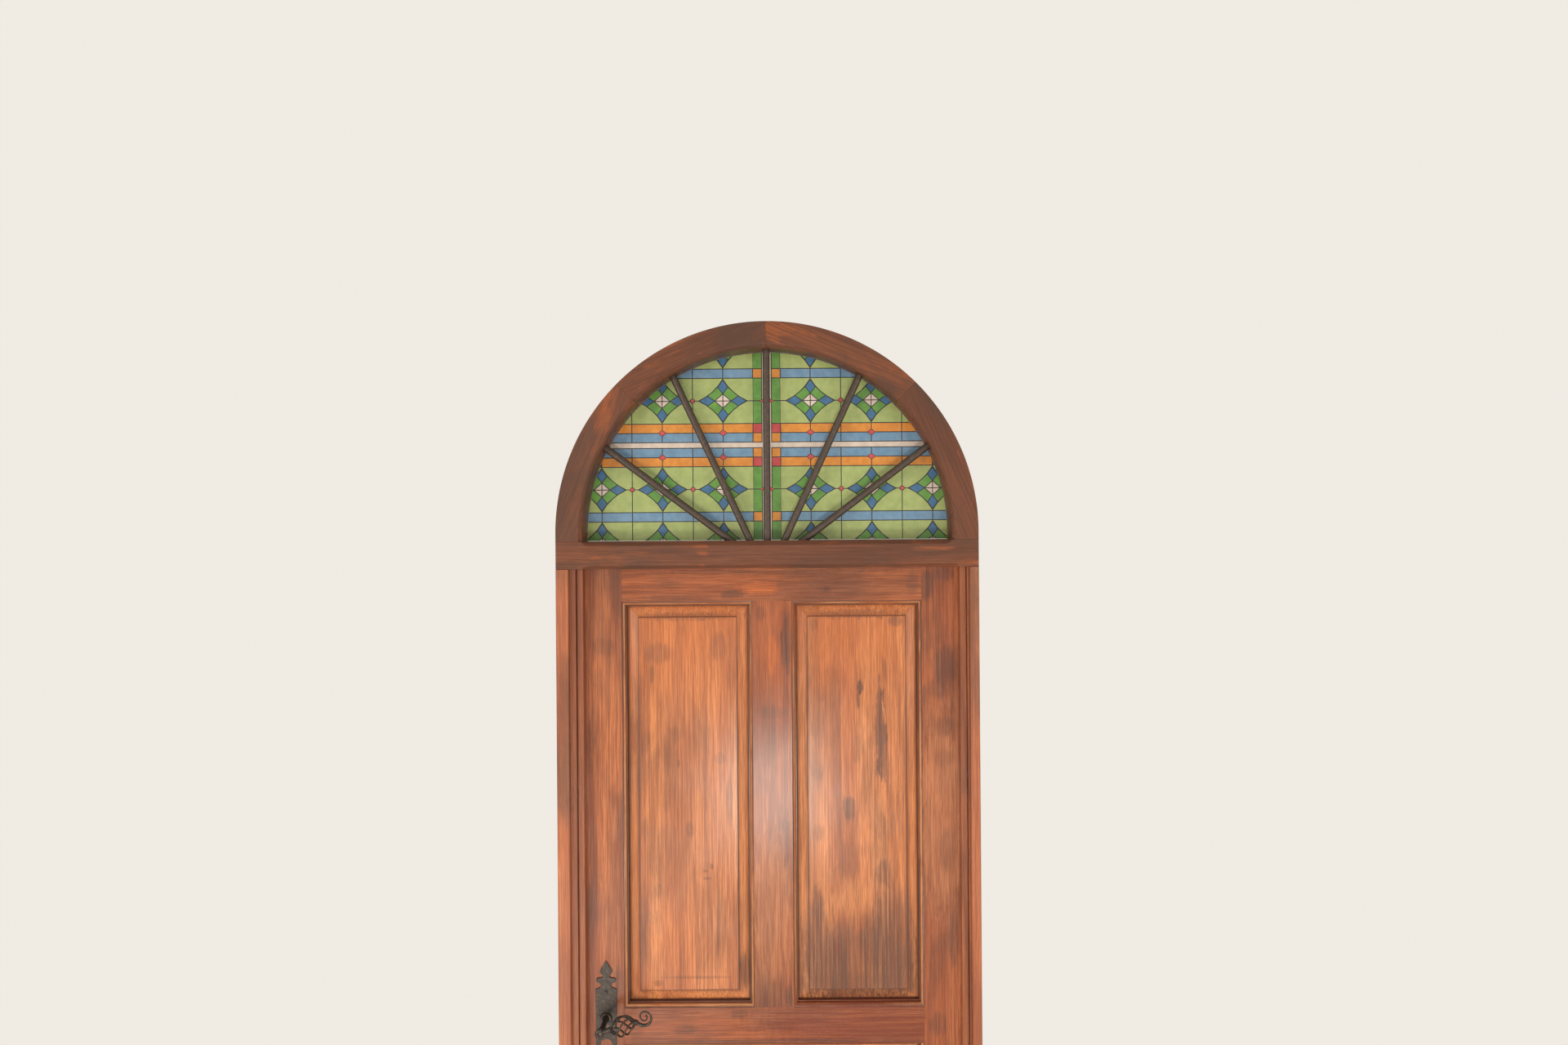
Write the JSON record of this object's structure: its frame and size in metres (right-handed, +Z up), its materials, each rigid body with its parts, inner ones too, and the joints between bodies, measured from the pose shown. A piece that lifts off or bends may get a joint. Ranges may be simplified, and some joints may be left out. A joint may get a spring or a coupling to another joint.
{
  "type": "arched door with fanlight",
  "caption": "Panelled timber door leaf with a twisted basket lever, hung in its frame under a half-round leaded-look fanlight crossed by turned iron bars.",
  "frame": {"origin": "on the floor, under the middle of the object's overall width and depth", "axes": "+Z up, +X along the wall to the right seen from the front, +Y into the wall, away from the pictured face"},
  "size_m": [0.892, 0.1896, 2.523],
  "materials": {
    "fan_bar": "dark brown painted bar",
    "arch": "worn dark red-brown lacquer",
    "transom": "worn dark red-brown lacquer",
    "jamb": "satin orange-brown lacquer",
    "cover_strip": "satin orange-brown lacquer",
    "glazing_bead": "worn dark red-brown lacquer",
    "screw": "plated steel",
    "lock_steel": "plated steel",
    "lock_brass": "worn brass",
    "hinge": "bronzed steel",
    "glass": "clear glass",
    "film_lines": "dark film lines",
    "film_pale_green": "translucent coloured film",
    "film_green": "translucent coloured film",
    "film_blue": "translucent coloured film",
    "film_cream": "translucent coloured film",
    "film_light_blue": "translucent coloured film",
    "film_orange": "translucent coloured film",
    "film_red": "translucent coloured film",
    "leaf_stile": "glossy orange-brown lacquer",
    "leaf_rail": "glossy orange-brown lacquer",
    "leaf_panel": "glossy orange-brown lacquer",
    "handle_iron": "blackened forged iron"
  },
  "bodies": {
    "frame": {"left_jamb": "jamb", "right_jamb": "jamb", "left_cover_strip": "cover_strip", "right_cover_strip": "cover_strip", "transom_bar": "transom", "arch_lower_left": "arch", "arch_upper_left": "arch", "arch_upper_right": "arch", "arch_lower_right": "arch", "arch_tongues": "arch", "fan_bar_far_left": "fan_bar", "fan_bar_left": "fan_bar", "fan_bar_middle": "fan_bar", "fan_bar_right": "fan_bar", "fan_bar_far_right": "fan_bar", "fanlight_glass": "glass", "arch_bead": "glazing_bead", "bottom_bead": "glazing_bead", "film_lines": "film_lines", "film_pale_green": "film_pale_green", "film_green": "film_green", "film_blue": "film_blue", "film_cream": "film_cream", "film_light_blue": "film_light_blue", "film_orange": "film_orange", "film_red": "film_red", "strike_plate": "lock_steel", "strike_screws": "screw", "frame_hinge_screws": "screw", "hinge_pins": "hinge", "lower_hinge_frame_leaf": "hinge", "middle_hinge_frame_leaf": "hinge", "upper_hinge_frame_leaf": "hinge"},
    "leaf": {"lock_stile": "leaf_stile", "hinge_stile": "leaf_stile", "top_rail": "leaf_rail", "lock_rail": "leaf_rail", "bottom_rail": "leaf_rail", "muntin": "leaf_stile", "upper_left_panel": "leaf_panel", "upper_right_panel": "leaf_panel", "lower_panel": "leaf_panel", "lower_hinge_door_leaf": "hinge", "middle_hinge_door_leaf": "hinge", "upper_hinge_door_leaf": "hinge", "door_hinge_screws": "screw", "lock_case": "lock_steel", "lock_faceplate": "lock_steel", "faceplate_screws": "screw", "front_plate": "handle_iron", "rear_plate": "handle_iron", "plate_screws": "handle_iron"},
    "handle": {"front_lever": "handle_iron", "rear_lever": "handle_iron", "spindle": "lock_steel", "lock_follower": "lock_steel"},
    "latch": {"latch_bolt": "lock_brass"},
    "deadbolt": {"deadbolt": "lock_brass"}
  },
  "joints": [
    {"name": "leaf_swing", "type": "hinge", "parent": "frame", "child": "leaf", "pos_m": [0.42125, 0.0275, 1], "axis": [0, 0, -1], "range_deg": [0, 100]},
    {"name": "lever_turn", "type": "hinge", "parent": "leaf", "child": "handle", "pos_m": [-0.353, 0, 1.038], "axis": [0, 1, 0], "range_deg": [0, 40], "stiffness_Nm_per_rad": 2, "springref_deg": -34.38},
    {"name": "latch_slide", "type": "slide", "parent": "leaf", "child": "latch", "axis": [1, 0, 0], "range_m": [0, 0.0125]},
    {"name": "deadbolt_slide", "type": "slide", "parent": "leaf", "child": "deadbolt", "axis": [-1, 0, 0], "range_m": [0, 0.02]}
  ],
  "couplings": [
    {"joint": "latch_slide", "follows": "lever_turn", "m_per_rad": 0.01719}
  ]
}
